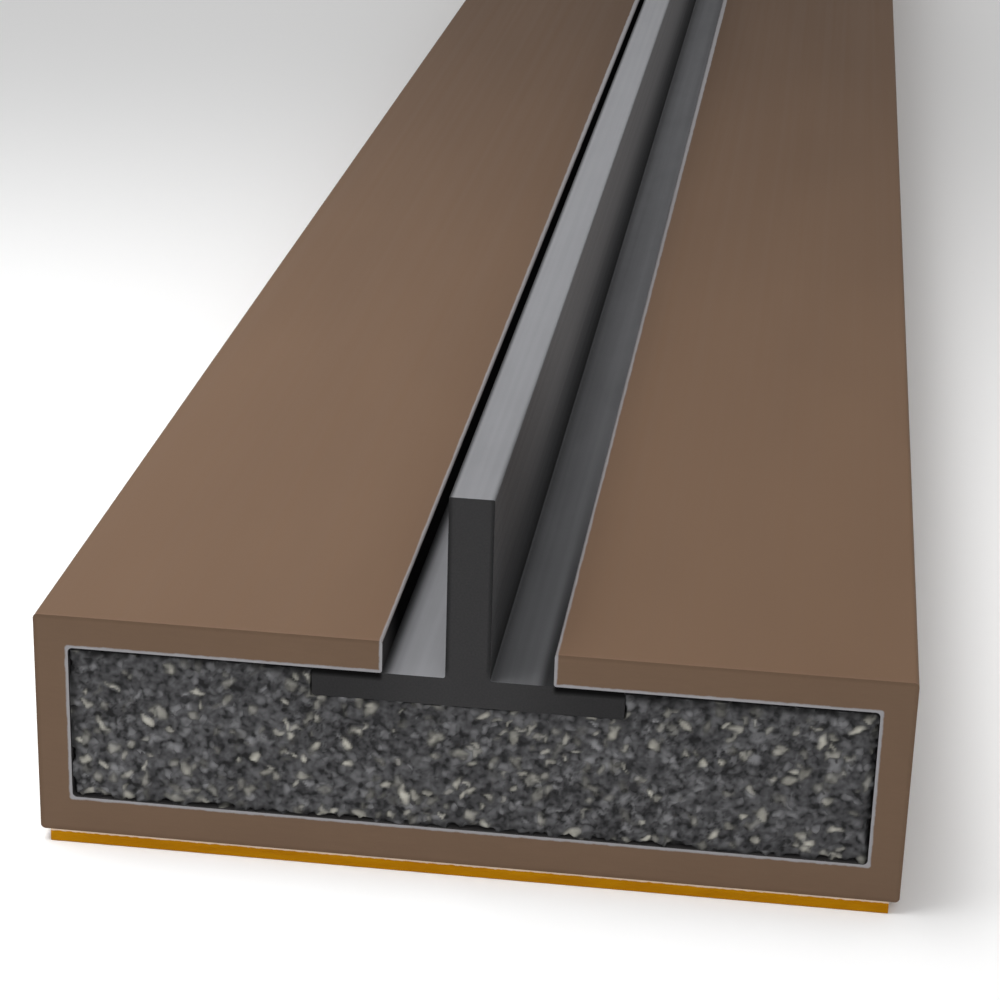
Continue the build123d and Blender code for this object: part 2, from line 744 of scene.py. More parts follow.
@dataclass(frozen=True)
class GraphiteCompound(Finish):
    """The swelling compound: dark crumbs and grains, pale mineral flecks and dull graphite flakes.

    The first fields after the name are the mesh's attributes that it reads. Painted shade darkens
    its crevices, its pits and the outlines of its pale flecks.
    """

    name: str
    tone: str
    pale: str
    flake: str
    crevice_shade: str

    dark: Colour = (0.027, 0.027, 0.0285)
    mid: Colour = (0.1345, 0.134, 0.1395)
    cream: Colour = (0.425, 0.413, 0.360)
    grey: Colour = (0.215, 0.215, 0.222)
    # The colour of the painted shade.
    shadow: Colour = (0.010, 0.010, 0.010)
    fine: Pattern = Pattern((20.0,) * 3)
    medium: Pattern = Pattern((7.0,) * 3, detail=1.0, shift=4.0)
    coarse: Pattern = Pattern((3.0,) * 3, shift=9.0)

    crumb_warp: Pattern = Pattern((4.6,) * 3, detail=1.0, shift=17.0)
    warp_reach: float = 0.1
    crumb_scale: float = 6.3
    dome_span: Span = (0.7, 0.1)
    light_crumbs: Span = (0.7, 1.0)
    light_crumb_share: float = 0.6

    tone_share: float = 0.55
    dome_shade_share: float = 0.2
    fine_swing: float = 0.06
    medium_swing: float = 1.2
    coarse_swing: float = 0.5
    pale_swing: float = 0.8

    # Painted shade round the pale flecks and in pits between crumbs.
    halo_start: Span = (0.01, 0.08)
    halo_end: Span = (0.3, 0.12)
    halo_share: float = 0.35
    pit_span: Span = (0.5, 0.32)
    pit_between_crumbs: Span = (0.4, 0.75)
    pit_in_pale: Span = (0.3, 0.05)
    pit_share: float = 0.75

    mean_roughness: float = 0.75
    fine_roughness: float = 0.2
    flake_polish: float = 0.3
    flake_metal: float = 0.2
    dome_relief: float = 0.45
    fine_relief: float = 0.05
    medium_relief: float = 0.5
    relief_depth: float = 0.015
    gloss: float = 0.08

    def paint(self, graph: Graph) -> None:
        """Colours the grains from the mesh's attributes and adds finer noise than the mesh holds."""
        place = graph.place()
        tone, pale, flake, crevice_shade = (
            self.attribute(graph, name) for name in (self.tone, self.pale, self.flake, self.crevice_shade)
        )
        fine, medium, coarse = (
            graph.noise(place, pattern) for pattern in (self.fine, self.medium, self.coarse)
        )
        crumb = graph.node(
            "ShaderNodeTexVoronoi",
            inputs={
                "Vector": graph.warped(place, self.crumb_warp, self.warp_reach),
                "Scale": self.crumb_scale,
                "Randomness": 1.0,
            },
            output="Distance",
        )
        lightness, _, _ = graph.parts(crumb.beside("Color"))
        # Painted shading of rounded crumbs: each is lighter at its middle and darker at its edges; the
        # same dome also raises the bump.
        dome = crumb.rise(*self.dome_span)

        matrix = tone * self.tone_share + dome * self.dome_shade_share + fine.swing(self.fine_swing)
        matrix = matrix + medium.swing(self.medium_swing) + coarse.swing(self.coarse_swing)
        colour = graph.blend(matrix.most(0.0).least(1.0), self.dark, self.mid)
        light_crumb = lightness.rise(*self.light_crumbs) * dome
        colour = graph.blend(light_crumb * self.light_crumb_share, colour, self.grey)
        colour = graph.blend(flake, colour, self.grey)

        # Painted shade round the pale flecks.
        halo = pale.rise(*self.halo_start) * pale.rise(*self.halo_end)
        colour = graph.blend(halo * self.halo_share, colour, self.shadow)
        colour = graph.blend(pale * (1 + medium.swing(self.pale_swing)), colour, self.cream)
        # Painted shade in pits, and from the mesh's crevice shade.
        pits = medium.rise(*self.pit_span) * crumb.rise(*self.pit_between_crumbs)
        pits = pits * pale.rise(*self.pit_in_pale)
        colour = graph.blend(crevice_shade.most(pits * self.pit_share), colour, self.shadow)

        roughness = self.mean_roughness - flake * self.flake_polish + fine.swing(self.fine_roughness)
        relief = dome * self.dome_relief + fine * self.fine_relief + medium * self.medium_relief
        normal = graph.bump(relief, self.relief_depth)
        graph.surface(colour, roughness, normal, self.gloss, metallic=flake * self.flake_metal)

    def attribute(self, graph: Graph, name: str) -> Shade:
        """A number that the mesh holds at each of its points."""
        return graph.node("ShaderNodeAttribute", {"attribute_name": name}, output="Fac")


@dataclass(frozen=True)
class PaleFloor(Finish):
    """The studio's matt floor."""

    name: str
    shade: Colour = (0.96, 0.96, 0.96)
    patch: Colour = (0.94, 0.94, 0.94)
    cloud: Pattern = Pattern((0.01,) * 3)
    tooth: Pattern = Pattern((0.8,) * 3)
    mean_roughness: float = 0.85
    tooth_roughness: float = 0.1
    tooth_depth: float = 0.01
    gloss: float = 0.1

    def paint(self, graph: Graph) -> None:
        """Varies the paper slightly."""
        place = graph.place()
        cloud = graph.noise(place, self.cloud)
        tooth = graph.noise(place, self.tooth)
        colour = graph.blend(cloud.rise(*NARROW_SPAN), self.shade, self.patch)
        roughness = self.mean_roughness + tooth.swing(self.tooth_roughness)
        graph.surface(colour, roughness, graph.bump(tooth, self.tooth_depth), self.gloss)


def dress(piece: bpy.types.Object, finish: Finish) -> bpy.types.Object:
    """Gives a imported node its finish.

    Args:
        piece: The node's object, whose mesh stays as it is.
        finish: The finish for all of its material slots.

    Returns:
        The same object.
    """
    material = finish.material()
    for slot in piece.material_slots:
        slot.material = material
    return piece


@dataclass
class Casing:
    """The brown casing, which stays as packed and gets its finish."""

    node: str = "casing"
    length: float = 150.0
    width: float = 14.7
    bottom: float = 0.22
    height: float = 4.05
    wall: float = 0.58
    floor: float = 0.66
    lip: float = 0.58
    slot_width: float = 2.86

    def build(self, frame: Mapping[str, Any]) -> bpy.types.Object:
        """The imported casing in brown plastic."""
        top = self.bottom + self.height
        finish = BrownPlastic(
            name="brown_plastic",
            half_length=self.length / 2,
            half_hollow=self.width / 2 - self.wall,
            hollow_bottom=self.bottom + self.floor,
            hollow_top=top - self.lip,
            half_slot=self.slot_width / 2,
            half_width=self.width / 2,
            bottom=self.bottom,
            top=top,
        )
        return dress(frame["nodes"][self.node], finish)


@dataclass
class SmokeFin:
    """The black rubber fin, which stays as packed and gets its finish."""

    node: str = "smoke_fin"
    blade_thickness: float = 0.75
    slot_width: float = 2.86
    length: float = 150.0
    flange_top: float = 3.69
    blade_top: float = 6.91

    def build(self, frame: Mapping[str, Any]) -> bpy.types.Object:
        """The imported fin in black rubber."""
        finish = BlackRubber(
            name="black_rubber",
            blade_half=self.blade_thickness / 2,
            slot_half=self.slot_width / 2,
            half_length=self.length / 2,
            root_height=self.flange_top,
            tip_height=self.blade_top,
        )
        return dress(frame["nodes"][self.node], finish)


@dataclass
class AdhesiveTape:
    """The amber tape, which stays as packed and gets its finish."""

    node: str = "adhesive_tape"
    thickness: float = 0.22

    def build(self, frame: Mapping[str, Any]) -> bpy.types.Object:
        """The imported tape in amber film."""
        return dress(frame["nodes"][self.node], AmberTape(name="amber_film", thickness=self.thickness))


class StripEnd(Enum):
    """An end of the strip, with the sign of the direction along Y in which it faces."""

    NEAR = -1
    FAR = 1

    @property
    def winding(self) -> int:
        """The step that reads corners, listed as for the near end, so that the face looks outwards."""
        return -self.value


class GrainKind(Enum):
    """What a grain of the core is made of."""

    MATRIX = 0
    PALE = 1
    FLAKE = 2


class CoreEdge(Enum):
    """The part of the core's outline that a point of a cut end is nearest to."""

    OUTSIDE = 0
    GROOVE = 1
    FLOOR = 2


@dataclass(frozen=True)
class GrainLook:
    """What a cut end shows at each of its points. Each value is an array over the points."""

    tone: np.ndarray
    pale: np.ndarray
    flake: np.ndarray
    crevice_shade: np.ndarray
    height: np.ndarray


@dataclass(frozen=True)
class GrainMix:
    """How the compound's grains vary.

    Sizes, pitches and the swirl are shares of the grains' spacing. The seam's width and what a
    grain lends to the points around it are measured in that grain's own half sizes. Pale grains
    gather in flocks. A seam is where two grains meet, and only some of the seams gape. Seams get
    painted shade, darkest where they gape.
    """

    smallest: float = 0.31
    growth: float = 0.36
    most_stretch: float = 1.6
    flock_pitch: float = 6.0
    flock_share: float = 0.30
    pale_share: float = 0.12
    flake_start: float = 0.84
    mean_tone: float = 0.36
    tone_spread: float = 0.2
    tone_limits: Span = (0.02, 0.95)
    strength_shape: Span = (1.2, 1.9)
    lent_reach: float = 1.55
    lent_fade: float = 1.3
    swirl_pitch: float = 0.6
    swirl_reach: float = 0.6
    seam_width: float = 0.5
    # Painted shade where grains meet, darkest where the seams gape.
    seam_shade: float = 0.35
    crevice_shade_strength: float = 0.9
    gap_pitch: float = 4.0
    gap_slope: float = 2.0
    gap_start: float = 0.9
    least_height: float = 0.35
    dome_fall: float = 0.5


class GrainField:
    """The grains on one cut end: ellipses at scattered places, each of one kind."""

    def __init__(
        self,
        width: float,
        bottom: float,
        top: float,
        spacing: float,
        seed: int,
        mix: GrainMix = GrainMix(),
    ) -> None:
        """Scatters the grains.

        Args:
            width: The width of the band that the grains cover.
            bottom: Its lowest height.
            top: Its greatest height.
            spacing: The mean distance from a grain to the next.
            seed: What the random draws start from.
            mix: How the grains vary.
        """
        rng = np.random.default_rng(seed)
        self.width = width
        self.spacing = spacing
        self.seed = seed
        self.mix = mix
        columns = np.arange(-width / 2, width / 2 + spacing, spacing)
        rows = np.arange(bottom, top + spacing, spacing)
        grid = np.stack(np.meshgrid(columns, rows), axis=-1).reshape(-1, 2)
        count = len(grid)
        self.centres = grid + rng.uniform(-0.5, 0.5, (count, 2)) * spacing
        angle = rng.uniform(0, math.pi, count)
        self.turn = np.stack([np.cos(angle), np.sin(angle)])
        size = spacing * (mix.smallest + mix.growth * rng.uniform(0, 1, count) ** 2)
        stretch = rng.uniform(1.0, mix.most_stretch, count)
        self.half_length = size * stretch
        self.half_width = size / stretch
        flocking = smooth_noise(self.centres + [width, 0], mix.flock_pitch * spacing, rng)
        draw = rng.uniform(0, 1, count)
        self.kind = np.full(count, GrainKind.MATRIX.value)
        self.kind[draw < mix.pale_share + mix.flock_share * flocking] = GrainKind.PALE.value
        self.kind[draw > mix.flake_start] = GrainKind.FLAKE.value
        self.tone = np.clip(rng.normal(mix.mean_tone, mix.tone_spread, count), *mix.tone_limits)
        self.strength = rng.beta(*mix.strength_shape, count)
        self.height = rng.uniform(0, 1, count)
        self.gaping = smooth_noise(self.centres + [width, 0], mix.gap_pitch * spacing, rng)

    def look(self, points: np.ndarray) -> GrainLook:
        """What the field shows at these points.

        Args:
            points: X and Z of each point, one row a point.

        Returns:
            The look at each point.
        """
        mix = self.mix
        moved = points + self.swirl(points)
        chunks = np.array_split(moved, max(1, len(points) // POINTS_AT_A_TIME))
        found = zip(*(self.nearby(chunk) for chunk in chunks))
        nearest, following, reach, next_reach, pale, flake = (np.concatenate(part) for part in found)
        seam = np.clip(1 - (next_reach - reach) / mix.seam_width, 0, 1)
        tone, height = (
            part[nearest] * (1 - seam / 2) + part[following] * seam / 2
            for part in (self.tone, self.height)
        )
        dome = np.clip(1 - mix.dome_fall * reach ** 2, 0, 1)
        gaping = np.clip(self.gaping[nearest] * mix.gap_slope - mix.gap_start, 0, 1)
        # Seams get painted shade, in the tone and in the crevice shade.
        return GrainLook(
            tone=tone * (1 - mix.seam_shade * seam),
            pale=pale,
            flake=flake * (1 - pale),
            crevice_shade=mix.crevice_shade_strength * seam ** 2 * gaping * (1 - pale),
            height=(mix.least_height + (1 - mix.least_height) * height) * dome,
        )

    def swirl(self, points: np.ndarray) -> np.ndarray:
        """How far each point is moved across and up, which makes the grains' outlines irregular."""
        rng = np.random.default_rng(self.seed + SWIRL_SEED)
        shifted = points + [self.width / 2, 0]
        ways = [smooth_noise(shifted, self.mix.swirl_pitch * self.spacing, rng) - 0.5 for _ in range(2)]
        return self.mix.swirl_reach * self.spacing * np.stack(ways, axis=1)

    def nearby(self, points: np.ndarray) -> tuple[np.ndarray, ...]:
        """The grain that each point is in, and what the grains around it lend it.

        Args:
            points: X and Z of each point, one row a point.

        Returns:
            The numbers of each point's nearest grain and the next nearest one, for both of them the
            point's distance from the middle over the grain's reach that way, and the shares of pale
            mineral and of graphite flake.
        """
        offset = points[:, None, :] - self.centres[None, :, :]
        along = (offset[..., 0] * self.turn[0] + offset[..., 1] * self.turn[1]) / self.half_length
        across = (offset[..., 1] * self.turn[0] - offset[..., 0] * self.turn[1]) / self.half_width
        reach = np.hypot(along, across)
        first, second = np.argpartition(reach, (0, 1), axis=1)[:, :2].T
        row = np.arange(len(points))
        lent = eased(np.clip((self.mix.lent_reach - reach) / self.mix.lent_fade, 0, 1)) * self.strength
        pale, flake = (
            (lent * (self.kind == kind.value)).max(axis=1) for kind in (GrainKind.PALE, GrainKind.FLAKE)
        )
        return first, second, reach[row, first], reach[row, second], pale, flake


def eased(share: np.ndarray) -> np.ndarray:
    """A share from 0 to 1, made level where it starts and where it ends."""
    return share * share * (3 - 2 * share)


def smooth_noise(points: np.ndarray, pitch: float, rng: np.random.Generator) -> np.ndarray:
    """Random numbers that change smoothly over a plane.

    Args:
        points: Where the noise is wanted, one row a point, none of them below zero.
        pitch: The distance over which the noise changes.
        rng: The source of the random numbers.

    Returns:
        A number between 0 and 1 for each point.
    """
    cells = points / pitch
    low = np.floor(cells).astype(int)
    lattice = rng.uniform(0, 1, tuple(low.max(axis=0) + 2))
    column, row = low.T
    across, up = eased(cells - low).T
    below = lattice[column, row] * (1 - across) + lattice[column + 1, row] * across
    above = lattice[column, row + 1] * (1 - across) + lattice[column + 1, row + 1] * across
    return below * (1 - up) + above * up


def layered_noise(
    points: np.ndarray, pitches: Span, share: float, rng: np.random.Generator
) -> np.ndarray:
    """Two layers of smooth noise, one finer than the other.

    Args:
        points: Where the noise is wanted, one row a point, none of them below zero.
        pitches: The pitch of the coarse layer and of the fine one.
        share: How much of the coarse layer there is, from 0 to 1.
        rng: The source of the random numbers.

    Returns:
        A number between 0 and 1 for each point.
    """
    coarse, fine = (smooth_noise(points, pitch, rng) for pitch in pitches)
    return coarse * share + fine * (1 - share)


@dataclass
class MeshDraft:
    """A mesh under construction, with a place on the bake map for each corner of each face."""

    points: list[np.ndarray] = field(default_factory=list)
    faces: list[tuple[int, ...]] = field(default_factory=list)
    places: list[tuple[float, float]] = field(default_factory=list)
    count: int = 0

    def add_points(self, rows: np.ndarray) -> np.ndarray:
        """Adds points and gives their numbers.

        Args:
            rows: X, Y and Z of each point, one row a point.

        Returns:
            The points' numbers in the mesh.
        """
        self.points.append(rows)
        first = self.count
        self.count += len(rows)
        return np.arange(first, self.count)

    def add_face(self, corners: Sequence[int], places: Sequence[tuple[float, float]]) -> None:
        """Adds a face by its corners' numbers, and the places of its corners on the bake map."""
        self.faces.append(tuple(int(corner) for corner in corners))
        self.places.extend(places)

    def build(self, name: str, attributes: Mapping[str, np.ndarray]) -> bpy.types.Object:
        """Makes the object.

        Args:
            name: The object's name.
            attributes: Numbers for the first points of the mesh, which are 0 at the others.

        Returns:
            The object, linked to the scene.
        """
        mesh = bpy.data.meshes.new(name)
        mesh.from_pydata((np.concatenate(self.points) * MM).tolist(), [], self.faces)
        layer = mesh.uv_layers.new(name=BAKE_MAP)
        layer.data.foreach_set("uv", np.array(self.places, np.float32).ravel())
        for key, values in attributes.items():
            whole = np.zeros(self.count, np.float32)
            whole[: len(values)] = values
            mesh.attributes.new(key, "FLOAT", "POINT").data.foreach_set("value", whole)
        mesh.polygons.foreach_set("use_smooth", np.ones(len(mesh.polygons), bool))
        mesh.set_sharp_from_angle(angle=SHARP_ANGLE)
        mesh.validate()
        made = bpy.data.objects.new(name, mesh)
        bpy.context.scene.collection.objects.link(made)
        return made


@dataclass
class IntumescentCore:
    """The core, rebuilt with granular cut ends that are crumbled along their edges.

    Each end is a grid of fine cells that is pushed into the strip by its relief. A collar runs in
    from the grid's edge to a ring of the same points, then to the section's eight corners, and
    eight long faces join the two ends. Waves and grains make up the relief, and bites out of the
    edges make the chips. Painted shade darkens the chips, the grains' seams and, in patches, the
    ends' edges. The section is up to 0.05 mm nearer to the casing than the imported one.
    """

    node: str = "intumescent_core"
    slot: str = "graphite_core"
    length: float = 150.0
    width: float = 13.52
    bottom: float = 0.88
    top: float = 3.635
    groove_width: float = 5.236
    groove_floor: float = 3.19
    grid_pitch: float = 0.034
    grain_spacing: float = 0.158
    collar: float = 0.4

    relief_depth: float = 0.06
    wave_pitches: Span = (0.9, 0.3)
    coarse_wave_share: float = 0.5
    wave_share: float = 0.45

    chip_depth: float = 0.12
    chip_reach: float = 0.07
    least_chip: float = 0.15
    chip_growth: float = 2.4
    chip_power: float = 2.5
    chip_slope_start: float = 1.15
    # Painted shade in the chips.
    chip_shade: float = 0.9
    bite_pitches: Span = (0.16, 0.07)
    coarse_bite_share: float = 0.6
    bite_slope: float = 5.0
    bite_start: float = 2.0

    # Painted shade along the cut ends' edges, in patches.
    shade_reach: float = 0.2
    shade_power: float = 1.5
    rim_shade: float = 0.55
    rim_reach: float = 0.08
    patch_pitch: float = 0.2
    patch_slope: float = 2.6
    patch_start: float = 0.3

    chipping: dict[CoreEdge, float] = field(
        default_factory=lambda: {CoreEdge.OUTSIDE: 1.0, CoreEdge.GROOVE: 0.2, CoreEdge.FLOOR: 1.1}
    )
    shading: dict[CoreEdge, float] = field(
        default_factory=lambda: {CoreEdge.OUTSIDE: 1.0, CoreEdge.GROOVE: 0.3, CoreEdge.FLOOR: 0.75}
    )
    seeds: dict[StripEnd, int] = field(default_factory=lambda: {StripEnd.NEAR: 5, StripEnd.FAR: 23})
    map_lows: dict[StripEnd, float] = field(
        default_factory=lambda: {StripEnd.NEAR: 0.77, StripEnd.FAR: 0.54}
    )

    def build(self) -> bpy.types.Object:
        """The core in graphite compound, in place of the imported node."""
        columns, rows = self.grid_lines()
        draft = MeshDraft()
        ends = {end: self.end_face(draft, end, columns, rows) for end in StripEnd}
        looks = [look for _, look in ends.values()]
        legs = {end: self.edge_legs(numbers, columns, rows) for end, (numbers, _) in ends.items()}
        self.join_ends(draft, legs, columns, rows)
        names = {
            "tone": "grain_tone",
            "pale": "pale_grain",
            "flake": "graphite_flake",
            "crevice_shade": "crevice_shade",
        }
        attributes = {
            name: np.concatenate([getattr(look, part) for look in looks]) for part, name in names.items()
        }
        made = draft.build("granular_core", attributes)
        made.data.materials.append(GraphiteCompound("graphite_compound", **names).material())
        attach(made, BODY)
        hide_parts(self.node)
        return made

    def grid_lines(self) -> tuple[np.ndarray, np.ndarray]:
        """The grid's lines across and up the section, with lines on the groove's faces."""
        half, half_groove = self.width / 2, self.groove_width / 2
        across = self.divided([-half, -half_groove, half_groove, half])
        up = self.divided([self.bottom, self.groove_floor, self.top])
        return across, up

    def divided(self, stops: Sequence[float]) -> np.ndarray:
        """Lines from the first stop to the last, about one pitch apart and with one on each stop."""
        spans = zip(stops, stops[1:])
        parts = [np.linspace(a, b, round((b - a) / self.grid_pitch), endpoint=False) for a, b in spans]
        return np.concatenate([*parts, [stops[-1]]])

    def in_groove(self, x: np.ndarray, z: np.ndarray) -> np.ndarray:
        """Whether a point lies in the groove, off its walls and floor."""
        slack = self.grid_pitch / 4
        return (np.abs(x) < self.groove_width / 2 - slack) & (z > self.groove_floor + slack)

    def end_face(
        self, draft: MeshDraft, end: StripEnd, columns: np.ndarray, rows: np.ndarray
    ) -> tuple[np.ndarray, GrainLook]:
        """Adds one cut end.

        Args:
            draft: The mesh that it goes into.
            end: Which end it is.
            columns: The grid's lines across.
            rows: The grid's lines up.

        Returns:
            The points' numbers by column and row, -1 in the groove, and what the points show.
        """
        x, z = np.meshgrid(columns, rows, indexing="ij")
        kept = ~self.in_groove(x, z)
        flat = np.stack([x[kept], z[kept]], axis=1)
        seed = self.seeds[end]
        look = GrainField(self.width, self.bottom, self.top, self.grain_spacing, seed).look(flat)
        depth, chipped = self.relief(flat, look, seed)
        # Painted shade from the seams, the chips and the edges.
        shaded = np.maximum(look.crevice_shade, np.maximum(chipped, self.edge_shade(flat, seed)))
        look = replace(look, crevice_shade=shaded)
        y = end.value * (self.length / 2 - depth)
        numbers = np.full(x.shape, -1)
        numbers[kept] = draft.add_points(np.stack([flat[:, 0], y, flat[:, 1]], axis=1))
        centre_x = (x[:-1, :-1] + x[1:, 1:]) / 2
        centre_z = (z[:-1, :-1] + z[1:, 1:]) / 2
        for i, j in np.argwhere(~self.in_groove(centre_x, centre_z)):
            cell = ((i, j), (i + 1, j), (i + 1, j + 1), (i, j + 1))[:: end.winding]
            corners = [numbers[a, b] for a, b in cell]
            draft.add_face(corners, [self.end_place(end, columns[a], rows[b]) for a, b in cell])
        return numbers, look

    def relief(self, points: np.ndarray, look: GrainLook, seed: int) -> tuple[np.ndarray, np.ndarray]:
        """How deep the cut end lies under the plane of the casing's end.

        Args:
            points: X and Z of each point, one row a point.
            look: What the grains show there.
            seed: What the random draws start from.

        Returns:
            The depth in millimetres, and the painted shade of the point for lying in a chip, from 0 to 1.
        """
        rng = np.random.default_rng(seed + RELIEF_SEED)
        shifted = points + [self.width / 2, 0]
        waves = layered_noise(shifted, self.wave_pitches, self.coarse_wave_share, rng)
        bites = layered_noise(shifted, self.bite_pitches, self.coarse_bite_share, rng)
        inside, nearest = self.edge_distance(points)
        chipping = np.array([self.chipping[edge] for edge in CoreEdge])[nearest]
        growth = self.least_chip + self.chip_growth * bites ** self.chip_power
        reach = self.chip_reach * growth * chipping
        chipped = np.clip(self.chip_slope_start - inside / reach, 0, 1)
        chipped = chipped * np.clip(self.bite_slope * bites - self.bite_start, 0, 1)
        hollows = self.wave_share * waves + (1 - self.wave_share) * (1 - look.height)
        depth = self.relief_depth * hollows + self.chip_depth * chipped
        return depth, chipped * self.chip_shade

    def edge_shade(self, points: np.ndarray, seed: int) -> np.ndarray:
        """The painted shade along a cut end's edges, in patches.

        Args:
            points: X and Z of each point, one row a point.
            seed: What the random draws start from.

        Returns:
            The shade at each point, from 0 to 1.
        """
        rng = np.random.default_rng(seed + SHADE_SEED)
        patches = smooth_noise(points + [self.width / 2, 0], self.patch_pitch, rng)
        inside, nearest = self.edge_distance(points)
        shading = np.array([self.shading[edge] for edge in CoreEdge])[nearest]
        fading = np.clip(1 - inside / self.shade_reach, 0, 1) ** self.shade_power
        fading = fading * np.clip(self.rim_shade + inside / self.rim_reach, 0, 1)
        return fading * shading * np.clip(self.patch_slope * patches - self.patch_start, 0, 1)

    def edge_distance(self, points: np.ndarray) -> tuple[np.ndarray, np.ndarray]:
        """How far each point lies inside the section, and the value of the CoreEdge nearest to it."""
        x, z = np.abs(points[:, 0]), points[:, 1]
        outside = np.minimum(self.width / 2 - x, self.top - z)
        groove = np.hypot(np.maximum(x - self.groove_width / 2, 0), np.maximum(self.groove_floor - z, 0))
        distances = np.stack([outside, groove, z - self.bottom])
        return distances.min(axis=0), distances.argmin(axis=0)

    def edge_legs(self, numbers: np.ndarray, columns: np.ndarray, rows: np.ndarray) -> list[np.ndarray]:
        """The grid's edge as eight straight legs, anticlockwise as the near end is seen.

        Args:
            numbers: The points' numbers by column and row.
            columns: The grid's lines across.
            rows: The grid's lines up.

        Returns:
            For each leg its points' numbers, from one corner of the section to the next.
        """
        legs = []
        for (i, j), (k, m) in self.corner_pairs(columns, rows):
            steps = max(abs(k - i), abs(m - j))
            path_i = np.linspace(i, k, steps + 1).round().astype(int)
            path_j = np.linspace(j, m, steps + 1).round().astype(int)
            legs.append(numbers[path_i, path_j])
        return legs

    def corner_pairs(self, columns: np.ndarray, rows: np.ndarray) -> list[tuple[tuple[int, int], ...]]:
        """The section's corners on the grid, each paired with the next one round."""
        last_i, last_j = len(columns) - 1, len(rows) - 1
        left = int(np.argmin(np.abs(columns + self.groove_width / 2)))
        right = int(np.argmin(np.abs(columns - self.groove_width / 2)))
        floor = int(np.argmin(np.abs(rows - self.groove_floor)))
        corners = [(0, 0), (last_i, 0), (last_i, last_j), (right, last_j)]
        corners += [(right, floor), (left, floor), (left, last_j), (0, last_j)]
        return list(zip(corners, corners[1:] + corners[:1]))

    def join_ends(
        self,
        draft: MeshDraft,
        legs: Mapping[StripEnd, list[np.ndarray]],
        columns: np.ndarray,
        rows: np.ndarray,
    ) -> None:
        """Adds the collars and the long faces between the two ends.

        Args:
            draft: The mesh that they go into.
            legs: Each end's edge, from edge_legs.
            columns: The grid's lines across.
            rows: The grid's lines up.
        """
        corners = np.array([[columns[i], rows[j]] for (i, j), _ in self.corner_pairs(columns, rows)])
        lengths = np.hypot(*(np.roll(corners, -1, axis=0) - corners).T)
        stops = np.concatenate([[0.0], np.cumsum(lengths)])
        spans = list(zip(stops, stops[1:]))
        sides = [[n, (n + 1) % len(corners)] for n in range(len(corners))]
        edge_y, ring_y, inner_y = (self.length / 2 - steps * self.collar for steps in range(3))
        inner = {}
        for end in StripEnd:
            inner[end] = draft.add_points(self.ring(corners, inner_y, end))
            ring = self.added_ring(draft, legs[end], end)
            for edge_row, ring_row, side, span in zip(legs[end], ring, sides, spans):
                edge = (edge_row, end.value * edge_y)
                middle = (ring_row, end.value * ring_y)
                closing = (inner[end][side], end.value * inner_y)
                self.zipped(draft, end, edge, middle, span)
                self.zipped(draft, end, middle, closing, span)
        for side, span in zip(sides, spans):
            near, far = ((inner[end][side], end.value * inner_y) for end in StripEnd)
            self.zipped(draft, StripEnd.NEAR, near, far, span)

    def ring(self, flat: np.ndarray, y: float, end: StripEnd) -> np.ndarray:
        """Points of the section at one distance from the strip's middle, on one end's side."""
        return np.stack([flat[:, 0], np.full(len(flat), end.value * y), flat[:, 1]], axis=1)

    def added_ring(self, draft: MeshDraft, legs: Sequence[np.ndarray], end: StripEnd) -> list[np.ndarray]:
        """Adds a ring of points behind an end's edge.

        Args:
            draft: The mesh that it goes into.
            legs: The end's edge, from edge_legs.
            end: Which end it is.

        Returns:
            The ring's points in legs, as the edge is.
        """
        edge = np.concatenate([leg[:-1] for leg in legs])
        placed = np.concatenate(draft.points)[edge]
        numbers = draft.add_points(self.ring(placed[:, [0, 2]], self.length / 2 - self.collar, end))
        closed = np.append(numbers, numbers[0])
        stops = np.concatenate([[0], np.cumsum([len(leg) - 1 for leg in legs])])
        return [closed[a : b + 1] for a, b in zip(stops, stops[1:])]

    def zipped(
        self,
        draft: MeshDraft,
        end: StripEnd,
        outer: tuple[np.ndarray, float],
        inner: tuple[np.ndarray, float],
        span: tuple[float, float],
    ) -> None:
        """Fills a flat band between two rows of points with triangles.

        Args:
            draft: The mesh that it goes into.
            end: The end whose side the band is on, for the way that its faces look.
            outer: The row nearer to that end, and its place along the strip.
            inner: The row further from it, and its place along the strip.
            span: Where the band starts and ends round the section.
        """
        (outer_row, outer_y), (inner_row, inner_y) = outer, inner
        outer_at = np.linspace(*span, len(outer_row))
        inner_at = np.linspace(*span, len(inner_row))
        i = j = 0
        while i < len(outer_row) - 1 or j < len(inner_row) - 1:
            corners = [outer_row[i], inner_row[j]]
            places = [self.side_place(outer_at[i], outer_y), self.side_place(inner_at[j], inner_y)]
            next_outer = outer_at[i + 1] if i < len(outer_row) - 1 else math.inf
            next_inner = inner_at[j + 1] if j < len(inner_row) - 1 else math.inf
            if next_outer <= next_inner:
                i += 1
                corners.append(outer_row[i])
                places.append(self.side_place(outer_at[i], outer_y))
            else:
                j += 1
                corners.append(inner_row[j])
                places.append(self.side_place(inner_at[j], inner_y))
            draft.add_face(corners[:: end.winding], places[:: end.winding])

    def end_place(self, end: StripEnd, x: float, z: float) -> tuple[float, float]:
        """A cut end's place on the bake map, where the two ends lie one above the other."""
        scale = MAP_WIDTH / self.width
        return 0.5 + x * scale, self.map_lows[end] + (z - self.bottom) * scale

    def side_place(self, along: float, y: float) -> tuple[float, float]:
        """A long face's place on the bake map, below the ends."""
        around = 2 * (self.width + self.top - self.bottom + self.top - self.groove_floor)
        return 0.5 + MAP_WIDTH * y / self.length, SIDES_LOW + SIDES_HEIGHT * along / around


